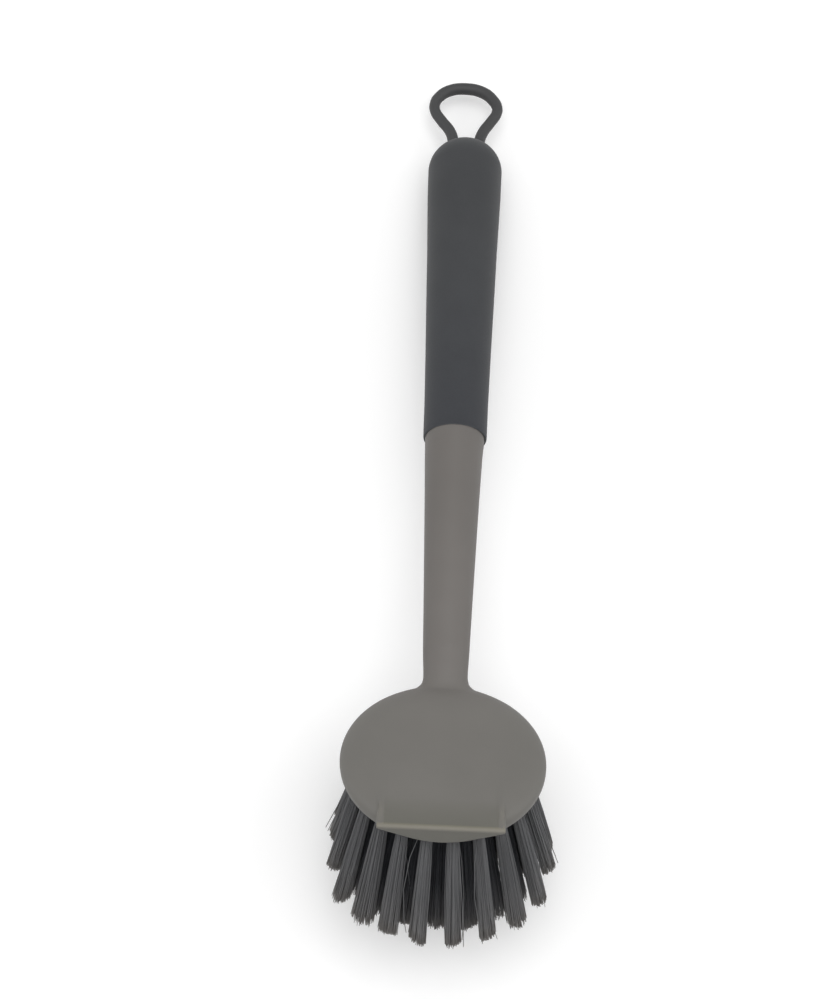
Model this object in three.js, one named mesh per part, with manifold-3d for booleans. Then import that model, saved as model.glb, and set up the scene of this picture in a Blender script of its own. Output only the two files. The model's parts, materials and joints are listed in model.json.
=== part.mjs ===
// A dish brush with a soft grip, as it lies on a table: on its rear bristle tips and the end of its grip.
// One moulding makes the round head, the shaft and a core that runs on inside the soft grip. A hanging loop
// is set in the end of that core. The head carries rings of bristle tufts, and a flat wire anchor holds each.
//
// Head frame: x to the right, y towards the handle, z up out of the head's back, z = 0 in the rim.
// Handle frame: y along the handle's axis, from the bend where it leaves the head, and z up out of its back.

import * as THREE from "three";
import { ConvexGeometry } from "three/addons/geometries/ConvexGeometry.js";
import { mergeVertices } from "three/addons/utils/BufferGeometryUtils.js";
import Module from "manifold-3d";

const wasm = await Module();
wasm.setup();

// Driving dimensions, in millimetres and degrees
const GAP = 0.3; // clearance between pieces that touch on the real brush

const HEAD_RADIUS = 29; // half of the head's width
const HEAD_OVAL = 0.985; // length over width of the head
const HEAD_TOP = 3; // flat back of the head
const HEAD_UNDERSIDE = -4.5; // face that the tufts come out of
const TOP_ROLL = 9; // how far in from the rim the back starts to roll over
const RIM_HIGH = -0.5; // top and foot of the upright rim
const RIM_LOW = -2;
const UNDERSIDE_BEVEL = 2.8; // how far in the underside's edge is from the rim

const LIP_REACH = 28.5; // straight scraper lip, from the head's centre
const LIP_HALF_WIDTH = 17.5;
const LIP_TOP = 3.6; // crest of the lip, a little above the head's back
const LIP_FOOT = 2.7; // level where the front is still straight
const LIP_EDGE = 0.5; // bevel on the lip's top edge
const LIP_THICKNESS = 1.2;
const HOOD_START = -13.5; // where the hood that carries the lip leaves the head's back
const HOOD_LEVEL = 2.85; // and its height there, just inside the rolled edge
const HOOD_HALF_WIDTH = 17.2; // half of its width there
const HOOD_TURN = 37; // how far round the rim the hood reaches, from the front
const HOOD_INSET = 0.2; // keeps the hood's foot just inside the rim

const SCOOP_HALF_WIDTH = 15.7; // shallow hollow behind the lip
const SCOOP_DEPTH = 0.5;
const SCOOP_DIP = -19; // its deepest line
const SCOOP_END = -7; // where it runs out into the head's back
const SCOOP_CURL = 3; // run of the curl's steeper part, at the lip
const SCOOP_EASE = 4; // run of the gentle parts beside its deepest line
const SCOOP_RUNOUT = 0.05; // height above the head's back where it ends

const NECK_Y = 27.1; // where the handle's axis leaves the head's level
const BEND = 10; // half the length of the bend in the neck
const HANDLE_RISE = 19.3; // angle of the handle above the head
const GRIP_START = 85.3; // shoulder on the shaft, along the handle
const GRIP_DOME = 189; // where the grip starts to round off
const GRIP_END = 200.8;
const GRIP_FLATNESS = 0.96; // height over width of the grip
const DOME_TIP = 0.08; // small flat at the dome's end, over the grip's width
const CORE_END = 192;
const CORE_WIDTHS = [14.2, 17.2]; // at the shoulder and at the core's end

// Shaft sections along the handle: distance, width, height, and how far below the handle's axis its middle is.
// The first rows flare into the head.
const NECK_ROWS = 7;
const SHAFT = [
  [-BEND, 28, 4.5, 0.75],
  [-3.4, 24.6, 5.2, 1.2],
  [-0.6, 20.4, 5.8, 1.4],
  [0.6, 17, 6.2, 1.4],
  [2, 14.1, 6.6, 1.3],
  [4, 13.15, 7.4, 1.05],
  [6, 13, 8.1, 0.85],
  [13, 13.4, 10, 0.3],
  [26, 14.4, 11.8, 0],
  [46, 15.6, 13.9, 0],
  [64, 16.7, 15.7, 0],
  [GRIP_START, 18.2, 18.2, 0],
];

// Grip widths along the handle, up to the dome
const GRIP_LIP = 1.2; // rounded edge where the sleeve starts
const GRIP = [
  [GRIP_START + GAP, 18.4],
  [GRIP_START + GAP + GRIP_LIP, 19.3],
  [97, 19.85],
  [118, 20.75],
  [134, 21.6],
  [157, 22.7],
  [178, 23.9],
  [GRIP_DOME, 24],
];

// Hanging loop: half of its centreline in the handle frame, from the leg's foot to the top
const LOOP_ROD = 3.85;
const LOOP_FOOT = 182;
const LOOP_HALF = [
  [4.4, LOOP_FOOT],
  [4.4, 196],
  [4.4, 202.2],
  [5.6, 206.3],
  [8.1, 210.6],
  [10.2, 214.6],
  [10.5, 217.6],
  [9.2, 220.9],
  [5.6, 224.2],
];
const LOOP_TOP = 225.3;

// Bristle rings: tufts, ring radius at the underside, splay of the tufts, half width of the backing slice, and
// the share of a step by which the first tuft is turned away from the front
const RINGS = [
  { name: "outer_bristle_ring", tufts: 20, radius: 22.4, splay: 15, half: 2.2, phase: 0.5 },
  { name: "middle_bristle_ring", tufts: 18, radius: 16.9, splay: 14.5, half: 2.2, phase: 0 },
  { name: "inner_bristle_ring", tufts: 10, radius: 11, splay: 10, half: 2.2, phase: 0.5 },
  { name: "centre_bristle_ring", tufts: 4, radius: 4.8, splay: 5, half: 2.2, phase: 0 },
];
const BRISTLE_DROP = 36.2; // from the underside down to the trimmed tips
const TRIM_SCATTER = 1.4; // unevenness of the trimmed tips
const SLICE_DEPTH = 4; // backing that goes with each ring
const STRANDS_AROUND = 8; // and one in the middle of the tuft
const STRAND_RADIUS = 0.44;
const STRAND_SIDES = 3;
const STRAND_ROOT = 0.8; // how deep a strand goes into the backing
const TUFT_ROOT_RADIUS = 1.2;
const TUFT_TIP_RADIUS = 2;

// Flat wire anchor that holds a tuft: across the tuft, thickness, height
const ANCHOR = { length: 3, thickness: 0.45, height: 1.5 };

// Smoothness of the round surfaces
const RIM_STEPS = 64;
const HOOD_STEPS = 18;
const ROLL_STEPS = 5;
const SCOOP_STEPS = 7;
const SHAFT_SIDES = 28;
const SHAFT_STEPS = 18;
const GRIP_STEPS = 12;
const DOME_STEPS = 7;
const LOOP_SIDES = 8;
const LOOP_STEPS = 44;
const BORE_SIDES = 12;
const RING_STEPS = 44;

const radians = THREE.MathUtils.degToRad;
const rise = radians(HANDLE_RISE);
const handleFrame = new THREE.Matrix4()
  .makeTranslation(0, NECK_Y, 0)
  .multiply(new THREE.Matrix4().makeRotationX(rise));

// Solids

function solidOf(geometry) {
  const bare = new THREE.BufferGeometry().setAttribute("position", geometry.getAttribute("position"));
  bare.setIndex(geometry.index);
  const merged = mergeVertices(bare, 1e-4);
  return new wasm.Manifold(
    new wasm.Mesh({
      numProp: 3,
      vertProperties: merged.attributes.position.array,
      triVerts: new Uint32Array(merged.index.array),
    }),
  );
}

function geometryOf(solid) {
  const mesh = solid.getMesh();
  const geometry = new THREE.BufferGeometry();
  geometry.setAttribute("position", new THREE.BufferAttribute(mesh.vertProperties, 3));
  geometry.setIndex(new THREE.BufferAttribute(mesh.triVerts, 1));
  geometry.computeVertexNormals();
  return geometry;
}

// A closed skin over rings of points. Each ring runs anticlockwise about the way the rings go.
function loft(rings) {
  const count = rings[0].length;
  const points = rings.flat();
  const faces = [];
  rings.slice(1).forEach((_, level) => {
    for (let i = 0; i < count; i++) {
      const low = level * count;
      const next = (i + 1) % count;
      faces.push(low + i, low + next, low + count + next);
      faces.push(low + i, low + count + next, low + count + i);
    }
  });
  [rings[0], rings.at(-1)].forEach((ring, last) => {
    const base = last ? points.length - 1 - count : 0;
    const middle = points.length;
    points.push(ring.reduce((sum, p) => sum.add(p), new THREE.Vector3()).divideScalar(count));
    for (let i = 0; i < count; i++) {
      const next = (i + 1) % count;
      faces.push(middle, base + (last ? i : next), base + (last ? next : i));
    }
  });
  const geometry = new THREE.BufferGeometry().setFromPoints(points);
  return geometry.setIndex(faces);
}

// Points of an ellipse square to the handle, in a plane through centre that leans back by tilt.
function section(centre, tilt, width, height) {
  const up = new THREE.Vector3(0, -Math.sin(tilt), Math.cos(tilt));
  return Array.from({ length: SHAFT_SIDES }, (_, i) => {
    const turn = (2 * Math.PI * i) / SHAFT_SIDES;
    const point = centre.clone().addScaledVector(up, (height / 2) * Math.cos(turn));
    point.x += (width / 2) * Math.sin(turn);
    return point;
  });
}

// A smooth value at distance s, from rows of [distance, value, ...]
function along(rows, s, column = 1) {
  const curve = new THREE.CubicInterpolant(
    rows.map((row) => row[0]),
    rows.map((row) => row[column]),
    1,
  );
  return curve.evaluate(s)[0];
}

function steps(from, to, count) {
  return Array.from({ length: count + 1 }, (_, i) => from + ((to - from) * i) / count);
}

// A body turned about z, from rows of [radius, z] that run anticlockwise
function lathe(profile, count) {
  return new THREE.LatheGeometry(
    profile.map(([radius, z]) => new THREE.Vector2(radius, z)),
    count,
  ).rotateX(Math.PI / 2);
}

// Head

function headDisc() {
  const profile = [
    [0, HEAD_UNDERSIDE],
    [HEAD_RADIUS - UNDERSIDE_BEVEL, HEAD_UNDERSIDE],
    [HEAD_RADIUS, RIM_LOW],
  ];
  for (const turn of steps(0, Math.PI / 2, ROLL_STEPS)) {
    const z = RIM_HIGH + (HEAD_TOP - RIM_HIGH) * Math.sin(turn);
    profile.push([HEAD_RADIUS - TOP_ROLL * (1 - Math.cos(turn)), z]);
  }
  profile.push([0, HEAD_TOP]);
  return lathe(profile, RIM_STEPS).scale(1, HEAD_OVAL, 1);
}

// The hood that carries the lip: straight lines run from the round rim and the head's back to the straight lip.
function lipHood() {
  const lip = [
    [LIP_REACH - LIP_THICKNESS, LIP_TOP],
    [LIP_REACH - LIP_EDGE, LIP_TOP],
    [LIP_REACH, LIP_TOP - LIP_EDGE],
    [LIP_REACH, LIP_FOOT],
  ];
  const corners = [-1, 1].flatMap((side) => [
    new THREE.Vector3(side * HOOD_HALF_WIDTH, HOOD_START, HOOD_LEVEL),
    ...lip.map(([reach, z]) => new THREE.Vector3(side * LIP_HALF_WIDTH, -reach, z)),
  ]);
  const foot = HEAD_RADIUS - HOOD_INSET;
  const rim = steps(-radians(HOOD_TURN), radians(HOOD_TURN), HOOD_STEPS).flatMap((turn) => {
    const y = -foot * HEAD_OVAL * Math.cos(turn);
    return [RIM_HIGH, RIM_LOW].map((z) => new THREE.Vector3(foot * Math.sin(turn), y, z));
  });
  return new ConvexGeometry([...corners, ...rim]);
}

// The hollow behind the scraper lip, as a block to cut away: it dips gently and curls up to the lip.
function scoop() {
  const lip = -LIP_REACH + LIP_THICKNESS;
  const floor = HEAD_TOP - SCOOP_DEPTH;
  const middle = (LIP_TOP + floor) / 2;
  const clear = LIP_TOP + 1;
  const shape = new THREE.Shape();
  shape.moveTo(lip, LIP_TOP);
  shape.bezierCurveTo(lip + SCOOP_CURL, middle, SCOOP_DIP - SCOOP_EASE, floor, SCOOP_DIP, floor);
  const end = HEAD_TOP + SCOOP_RUNOUT;
  shape.bezierCurveTo(SCOOP_DIP + SCOOP_EASE, floor, SCOOP_END - SCOOP_EASE, end, SCOOP_END, end);
  shape.lineTo(SCOOP_END, clear);
  shape.lineTo(lip, clear);
  const block = new THREE.ExtrudeGeometry(shape, {
    depth: 2 * SCOOP_HALF_WIDTH,
    bevelEnabled: false,
    curveSegments: SCOOP_STEPS,
  });
  block.translate(0, 0, -SCOOP_HALF_WIDTH);
  return block.applyMatrix4(new THREE.Matrix4().makeBasis(
    new THREE.Vector3(0, 1, 0),
    new THREE.Vector3(0, 0, 1),
    new THREE.Vector3(1, 0, 0),
  ));
}

// Shaft and core

// Centre and lean of the handle's axis at distance s from the bend
function axisAt(s) {
  if (s >= BEND) return [new THREE.Vector3(0, s, 0).applyMatrix4(handleFrame), rise];
  const bend = new THREE.QuadraticBezierCurve3(
    new THREE.Vector3(0, NECK_Y - BEND, 0),
    new THREE.Vector3(0, NECK_Y, 0),
    new THREE.Vector3(0, BEND, 0).applyMatrix4(handleFrame),
  );
  const t = (s + BEND) / (2 * BEND);
  const way = bend.getTangent(t);
  return [bend.getPoint(t), Math.atan2(way.z, way.y)];
}

function handleSection(s, width, height, sink = 0) {
  const [centre, lean] = axisAt(s);
  return section(centre.setZ(centre.z - sink), lean, width, height);
}

function shaft() {
  const places = [
    ...SHAFT.slice(0, NECK_ROWS).map((row) => row[0]),
    ...steps(SHAFT[NECK_ROWS][0], GRIP_START, SHAFT_STEPS),
  ];
  return loft(places.map((s) => handleSection(s, along(SHAFT, s), along(SHAFT, s, 2), along(SHAFT, s, 3))));
}

function core(grow = 0, from = GRIP_START - 1, to = CORE_END) {
  const [narrow, wide] = CORE_WIDTHS;
  return loft([
    handleSection(from, narrow + 2 * grow, GRIP_FLATNESS * narrow + 2 * grow),
    handleSection(to, wide + 2 * grow, GRIP_FLATNESS * wide + 2 * grow),
  ]);
}

// A bore for one leg of the hanging loop, in the handle frame
function legBore(side, from, to) {
  const radius = LOOP_ROD / 2 + GAP;
  const bore = new THREE.CylinderGeometry(radius, radius, to - from, BORE_SIDES);
  return bore.translate(side * LOOP_HALF[0][0], (from + to) / 2, 0);
}

function handleBody() {
  const head = solidOf(headDisc()).add(solidOf(lipHood())).subtract(solidOf(scoop()));
  let solid = head.add(solidOf(shaft()));
  solid = solid.add(solidOf(core()));
  for (const side of [-1, 1]) {
    solid = solid.subtract(solidOf(legBore(side, LOOP_FOOT - GAP, CORE_END + 1).applyMatrix4(handleFrame)));
  }
  for (const ring of RINGS) solid = solid.subtract(solidOf(backing(ring, GAP)));
  return geometryOf(solid);
}

// Soft grip, in the handle frame

function softGrip() {
  const toHandle = handleFrame.clone().invert();
  const widths = [
    ...GRIP.slice(0, 2),
    ...steps(GRIP[2][0], GRIP_DOME, GRIP_STEPS).map((s) => [s, along(GRIP, s)]),
  ];
  const [, domeWidth] = GRIP.at(-1);
  for (const turn of steps(0, Math.PI / 2, DOME_STEPS).slice(1)) {
    const squeeze = Math.max(Math.cos(turn), DOME_TIP);
    widths.push([GRIP_DOME + (GRIP_END - GRIP_DOME) * Math.sin(turn), domeWidth * squeeze]);
  }
  const outside = loft(widths.map(([s, width]) => handleSection(s, width, width * GRIP_FLATNESS)));
  const inside = core(GAP, GRIP_START - 1, CORE_END + GAP);
  let solid = solidOf(outside.applyMatrix4(toHandle)).subtract(solidOf(inside.applyMatrix4(toHandle)));
  for (const side of [-1, 1]) solid = solid.subtract(solidOf(legBore(side, CORE_END, GRIP_END)));
  return geometryOf(solid);
}

// Hanging loop, in the handle frame

function hangingLoop() {
  const half = LOOP_HALF.map(([x, s]) => new THREE.Vector3(x, s, 0));
  const other = half.map((p) => new THREE.Vector3(-p.x, p.y, 0)).reverse();
  const path = new THREE.CatmullRomCurve3([...half, new THREE.Vector3(0, LOOP_TOP, 0), ...other]);
  const round = new THREE.Shape(
    Array.from({ length: LOOP_SIDES }, (_, i) => {
      const turn = (2 * Math.PI * (i + 0.5)) / LOOP_SIDES;
      return new THREE.Vector2((LOOP_ROD / 2) * Math.cos(turn), (LOOP_ROD / 2) * Math.sin(turn));
    }),
  );
  return new THREE.ExtrudeGeometry(round, { steps: LOOP_STEPS, extrudePath: path });
}

// Bristles

// The slice of the head that a ring of tufts is set in, or the groove for it when grow is more than 0
function backing({ radius, half }, grow = 0) {
  const outer = radius + half + grow;
  const inner = radius - half - grow;
  const low = grow ? HEAD_UNDERSIDE - 1 : HEAD_UNDERSIDE;
  const high = HEAD_UNDERSIDE + SLICE_DEPTH + grow;
  const corners = [
    [inner, low],
    [outer, low],
    [outer, high],
    [inner, high],
    [inner, low],
  ];
  return lathe(corners, RING_STEPS);
}

function tuftFrames({ tufts, radius, phase }) {
  return Array.from({ length: tufts }, (_, i) => {
    const turn = (2 * Math.PI * (i + phase)) / tufts;
    const outward = new THREE.Vector3(Math.sin(turn), -Math.cos(turn), 0);
    const sideways = new THREE.Vector3(Math.cos(turn), Math.sin(turn), 0);
    const root = outward.clone().multiplyScalar(radius).setZ(HEAD_UNDERSIDE);
    return { turn, outward, sideways, root };
  });
}

// How far the trimmed tip of a strand is off the trim level, the same on the left and the right of the brush
function trimError(ring, tuft, strand) {
  const otherSide = (2 * (ring.tufts - ring.phase) - tuft) % ring.tufts;
  const tuftSide = Math.min(tuft, otherSide);
  const strandSide = Math.min(strand, STRANDS_AROUND - strand);
  const wave = Math.sin(ring.tufts + 7.3 * tuftSide + 2.1 * strandSide) * 1000;
  return TRIM_SCATTER * (2 * (wave - Math.floor(wave)) - 1);
}

// One thin prism from root to tip, added to lists of points and faces
function addStrand(points, faces, root, tip, outward, sideways) {
  const base = points.length;
  for (const end of [root, tip]) {
    for (let i = 0; i < STRAND_SIDES; i++) {
      const turn = (2 * Math.PI * i) / STRAND_SIDES;
      const point = end.clone().addScaledVector(outward, STRAND_RADIUS * Math.cos(turn));
      points.push(point.addScaledVector(sideways, -STRAND_RADIUS * Math.sin(turn)));
    }
  }
  for (let i = 0; i < STRAND_SIDES; i++) {
    const next = (i + 1) % STRAND_SIDES;
    faces.push(base + i, base + next, base + STRAND_SIDES + next);
    faces.push(base + i, base + STRAND_SIDES + next, base + STRAND_SIDES + i);
  }
  for (let i = 1; i < STRAND_SIDES - 1; i++) {
    faces.push(base, base + i + 1, base + i);
    faces.push(base + STRAND_SIDES, base + STRAND_SIDES + i, base + STRAND_SIDES + i + 1);
  }
}

function tuftStrands(ring) {
  const points = [];
  const faces = [];
  const lean = Math.tan(radians(ring.splay));
  tuftFrames(ring).forEach(({ outward, sideways, root }, tuft) => {
    for (let strand = 0; strand <= STRANDS_AROUND; strand++) {
      const turn = (2 * Math.PI * strand) / STRANDS_AROUND;
      const spread = strand < STRANDS_AROUND ? 1 : 0;
      const place = (radius, drop) =>
        root
          .clone()
          .addScaledVector(outward, lean * drop + spread * radius * Math.cos(turn))
          .addScaledVector(sideways, spread * radius * Math.sin(turn))
          .add(new THREE.Vector3(0, 0, -drop));
      const drop = BRISTLE_DROP + trimError(ring, tuft, strand);
      const foot = place(TUFT_ROOT_RADIUS, -STRAND_ROOT);
      addStrand(points, faces, foot, place(TUFT_TIP_RADIUS, drop), outward, sideways);
    }
  });
  const geometry = new THREE.BufferGeometry().setFromPoints(points);
  return geometry.setIndex(faces);
}

function anchorBlock({ turn, root }, grow = 0) {
  const { length, thickness, height } = ANCHOR;
  const block = new THREE.BoxGeometry(thickness + 2 * grow, length + 2 * grow, height + 2 * grow);
  const top = HEAD_UNDERSIDE + SLICE_DEPTH;
  return block.rotateZ(turn).translate(root.x, root.y, top - height / 2);
}

function bristleRing(ring) {
  let solid = solidOf(backing(ring));
  for (const frame of tuftFrames(ring)) solid = solid.subtract(solidOf(anchorBlock(frame, GAP)));
  return geometryOf(solid.add(solidOf(tuftStrands(ring))));
}

// Materials

function finish(name, color, roughness, metalness = 0) {
  return new THREE.MeshStandardMaterial({ name, color, roughness, metalness });
}

const bodyPlastic = finish("body_plastic", "#767370", 0.5);
const gripRubber = finish("grip_rubber", "#484a4c", 0.75);
const loopPlastic = finish("loop_plastic", "#4b4b4c", 0.65);
const bristleNylon = finish("bristle_nylon", "#535253", 0.45);
const anchorWire = finish("anchor_wire", "#b9a36a", 0.35, 1);

// Assembly

function piece(name, geometry, material, parent) {
  const mesh = new THREE.Mesh(geometry, material);
  mesh.name = name;
  parent.add(mesh);
  return mesh;
}

const brush = new THREE.Group();
const handle = new THREE.Group();
handle.position.y = NECK_Y;
handle.rotation.x = rise;
brush.add(handle);

piece("handle_body", handleBody(), bodyPlastic, brush);
const grip = piece("soft_grip", softGrip(), gripRubber, handle);
piece("hanging_loop", hangingLoop(), loopPlastic, handle);
const bristles = RINGS.map((ring) => piece(ring.name, bristleRing(ring), bristleNylon, brush));
RINGS.forEach((ring) => {
  tuftFrames(ring).forEach((frame, i) => {
    const name = `${ring.name.split("_")[0]}_tuft_anchor_${String(i + 1).padStart(2, "0")}`;
    piece(name, anchorBlock(frame), anchorWire, brush);
  });
});

// The brush tips back until its rear bristles and the end of its grip are level.

function lowest(meshes) {
  brush.updateMatrixWorld(true);
  return Math.min(...meshes.map((mesh) => new THREE.Box3().setFromObject(mesh, true).min.z));
}

const halvings = 30;
let least = -Math.PI / 4;
let most = 0;
for (let i = 0; i < halvings; i++) {
  brush.rotation.x = (least + most) / 2;
  if (lowest([grip]) > lowest(bristles)) most = brush.rotation.x;
  else least = brush.rotation.x;
}
brush.updateMatrixWorld(true);
const box = new THREE.Box3().setFromObject(brush, true);
brush.position.set(0, -(box.min.y + box.max.y) / 2, -box.min.z);

const dishBrush = new THREE.Group();
dishBrush.name = "dish_brush";
dishBrush.add(brush);

export default dishBrush;
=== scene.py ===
# %% [markdown]
# A dish brush, built as a lesson
#
# The brush is one grey moulding with a round head and a long shaft, a dark soft grip with a hanging loop,
# and fifty-two tufts of nylon. The CAD model is loaded first and stays as it is, because everything made
# here has to sit in the same place and at the same size. Each cell then makes one piece and prints what it
# made or measured.

import json
import math

import bmesh
import bpy
import numpy as np
from mathutils import Matrix, Vector


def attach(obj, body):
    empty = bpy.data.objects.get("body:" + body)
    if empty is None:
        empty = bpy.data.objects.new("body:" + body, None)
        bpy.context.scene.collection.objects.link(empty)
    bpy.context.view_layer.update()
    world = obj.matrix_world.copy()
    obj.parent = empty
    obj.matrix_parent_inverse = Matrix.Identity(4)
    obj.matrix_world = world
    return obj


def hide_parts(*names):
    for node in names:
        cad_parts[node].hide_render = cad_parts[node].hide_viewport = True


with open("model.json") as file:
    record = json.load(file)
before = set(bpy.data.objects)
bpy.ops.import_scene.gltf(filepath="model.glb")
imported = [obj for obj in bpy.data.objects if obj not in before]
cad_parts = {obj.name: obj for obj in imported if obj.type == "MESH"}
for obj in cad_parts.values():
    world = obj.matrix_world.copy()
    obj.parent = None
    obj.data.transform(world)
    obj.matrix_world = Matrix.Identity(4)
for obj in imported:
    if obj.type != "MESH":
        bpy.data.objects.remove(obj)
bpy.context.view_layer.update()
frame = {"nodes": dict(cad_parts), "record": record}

# %% [markdown]
# The bench and the frame
#
# The brush lies on its bristles, so its head leans, and a leaning disc is awkward to model. Here the head is
# modelled flat on a bench, with its centre at the origin and the handle towards +Y, and each finished piece
# is laid over into the frame at the end. The record's mount on the back of the head says where that is, so
# nothing is measured twice. Sizes are written in millimetres and turned into metres by one factor.

# %% Find the way from the bench to the frame
MM = 0.001
MOUNT_ON_BENCH = Vector((0, 4, 3)) * MM

mount = next(m for m in frame["record"]["mounts"] if m["name"] == "head_back")
head_lean = -math.atan2(mount["axis"][1], mount["axis"][2])
lean = Matrix.Rotation(head_lean, 4, "X")
head_at = Vector(mount["pos_m"]) - lean @ MOUNT_ON_BENCH
bench_to_frame = Matrix.Translation(head_at) @ lean
print("head leans", round(math.degrees(head_lean), 2), "degrees at", [round(v, 4) for v in head_at])

# %% [markdown]
# Camera
#
# The photograph looks down on the brush from the bristle end. A camera matches it when its pitch, roll,
# distance and lens are right together. They were fitted to the round head and the straight handle, so the
# camera is placed by its offset from the middle of the head, first on the bench and then in the frame.

# %% Place the camera
PHOTO_HEIGHT = 1000
FOCAL_PIXELS = 2200
SENSOR = 36
VIEW_DOWN = 0.7131
VIEW_TURN = 0.01067
VIEW_ROLL = 0.03547
VIEW_OFFSET = Vector((-7.32, 72.7124, 616.493)) * MM
NEAREST = 0.01

bpy.ops.object.select_all(action="DESELECT")
bpy.ops.object.camera_add()
camera = bpy.context.object
camera.name = "photo_camera"
aim = Matrix.Rotation(VIEW_TURN, 4, "Z") @ Matrix.Rotation(math.pi / 2 - VIEW_DOWN, 4, "X")
aim = aim @ Matrix.Rotation(VIEW_ROLL, 4, "Z")
camera.matrix_world = bench_to_frame @ aim @ Matrix.Translation(VIEW_OFFSET)
camera.data.sensor_width = SENSOR
camera.data.lens = SENSOR * FOCAL_PIXELS / PHOTO_HEIGHT
camera.data.clip_start = NEAREST
bpy.context.scene.camera = camera
bpy.context.scene.view_settings.view_transform = "Standard"
print("camera at", [round(v, 3) for v in camera.matrix_world.translation], "lens", camera.data.lens)

# %% [markdown]
# Floor and light
#
# The light in the photograph is soft and comes mostly from above, on a white background. A large lamp
# overhead gives the gentle fall-off on round forms, two weaker ones fill the sides, and an even room lifts
# the rest. The floor is white to the camera. A faint glow grows with the distance, until floor and room look
# alike. For the light that it sends back up the floor is a darker grey, which keeps the shade between the
# tufts deep.

# %% Add shader nodes


def add_node(tree, kind, inputs=None, **settings):
    """Adds a shader node with these settings, and sets its inputs by name or number."""
    node = tree.nodes.new("ShaderNode" + kind)
    for name, value in settings.items():
        setattr(node, name, value)
    for name, value in (inputs or {}).items():
        node.inputs[name].default_value = value
    return node


def new_finish(name):
    """A new material with its node tree and its shader."""
    finish = bpy.data.materials.new(name)
    finish.use_nodes = True
    return finish, finish.node_tree, finish.node_tree.nodes["Principled BSDF"]


# %% Lay the floor
FLOOR_SIZE = 8
FLOOR_LEVEL = -0.00005

bpy.ops.object.select_all(action="DESELECT")
bpy.ops.mesh.primitive_plane_add(size=FLOOR_SIZE, location=(0, 0, FLOOR_LEVEL))
floor = bpy.context.object
floor.name = "studio_floor"
print("floor", FLOOR_SIZE, "m wide")

# %% Make paper that is white to the camera
FLOOR_SEEN = (0.92, 0.92, 0.92, 1)
FLOOR_BOUNCE = (0.25, 0.25, 0.25, 1)

paper, tree, shader = new_finish("studio_paper")
link = tree.links.new
ray = add_node(tree, "LightPath")
seen_or_mirrored = add_node(tree, "Math", operation="MAXIMUM")
seen_at_all = add_node(tree, "Math", operation="MAXIMUM")
link(ray.outputs["Is Camera Ray"], seen_or_mirrored.inputs[0])
link(ray.outputs["Is Glossy Ray"], seen_or_mirrored.inputs[1])
link(seen_or_mirrored.outputs[0], seen_at_all.inputs[0])
link(ray.outputs["Is Transmission Ray"], seen_at_all.inputs[1])
shade = add_node(tree, "Mix", data_type="RGBA")
shade.inputs["A"].default_value = FLOOR_BOUNCE
shade.inputs["B"].default_value = FLOOR_SEEN
link(seen_at_all.outputs[0], shade.inputs["Factor"])
link(shade.outputs["Result"], shader.inputs["Base Color"])
shader.inputs["Roughness"].default_value = 1
shader.inputs["Specular IOR Level"].default_value = 0
print("paper is", FLOOR_SEEN[0], "to the camera and", FLOOR_BOUNCE[0], "to scattered light")

# %% Let it glow in the distance, and cover the floor
NEAR_GLOW = 0.14
FAR_GLOW = 0.45
GLOW_STARTS = 0.5
GLOW_ENDS = 2.5

place = add_node(tree, "TexCoord")
distance = add_node(tree, "VectorMath", operation="LENGTH")
link(place.outputs["Object"], distance.inputs[0])
fade = add_node(tree, "MapRange", {"From Min": GLOW_STARTS, "From Max": GLOW_ENDS})
fade.inputs["To Min"].default_value = NEAR_GLOW
fade.inputs["To Max"].default_value = FAR_GLOW
link(distance.outputs["Value"], fade.inputs["Value"])
glow = add_node(tree, "Math", operation="MULTIPLY")
link(seen_at_all.outputs[0], glow.inputs[0])
link(fade.outputs["Result"], glow.inputs[1])
link(glow.outputs[0], shader.inputs["Emission Strength"])
shader.inputs["Emission Color"].default_value = (1, 1, 1, 1)
floor.data.materials.append(paper)
print("paper glows from", NEAR_GLOW, "to", FAR_GLOW)

# %% Hang the lamps
LAMPS = [
    {"name": "overhead_softbox", "at": (0.1, -0.1, 1.6), "size": 1.5, "power": 10.5},
    {"name": "right_fill", "at": (1.3, 0.1, 0.8), "size": 0.9, "power": 3.2},
    {"name": "left_fill", "at": (-1.3, 0.1, 0.8), "size": 0.9, "power": 2.9},
]

for plan in LAMPS:
    bpy.ops.object.light_add(type="AREA", location=plan["at"])
    lamp = bpy.context.object
    lamp.name = plan["name"]
    lamp.data.size = plan["size"]
    lamp.data.energy = plan["power"]
    lamp.rotation_euler = (-lamp.location).to_track_quat("-Z", "Y").to_euler()
print("lamps", [(plan["name"], plan["power"]) for plan in LAMPS])

# %% Light the room
ROOM_LIGHT = 0.65
ROOM_SEEN = 1

room = bpy.data.worlds.new("studio_room")
room.use_nodes = True
tree = room.node_tree
background = tree.nodes["Background"]
background.inputs["Color"].default_value = (1, 1, 1, 1)
ray = add_node(tree, "LightPath")
brightness = add_node(tree, "MapRange", {"To Min": ROOM_LIGHT, "To Max": ROOM_SEEN})
tree.links.new(ray.outputs["Is Camera Ray"], brightness.inputs["Value"])
tree.links.new(brightness.outputs["Result"], background.inputs["Strength"])
bpy.context.scene.world = room
print("room light", ROOM_LIGHT)

# %% [markdown]
# Finishes
#
# Moulded plastic is never one flat colour. The melt leaves slow drifts of tone, the mould's spark-eroded skin
# gives a fine grain, and the gloss changes with that grain. The helper below makes such a finish from two
# noises in Object coordinates: a slow one for the drift and a fine one for grain, gloss and bump.

# %% A moulded finish from a slow drift and a fine grain
GRAIN_SHARE = 0.35
TONE_RANGE = (0.45, 0.9)
GRAIN_RANGE = (0.3, 0.7)
BUMP_STRENGTH = 0.35


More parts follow.
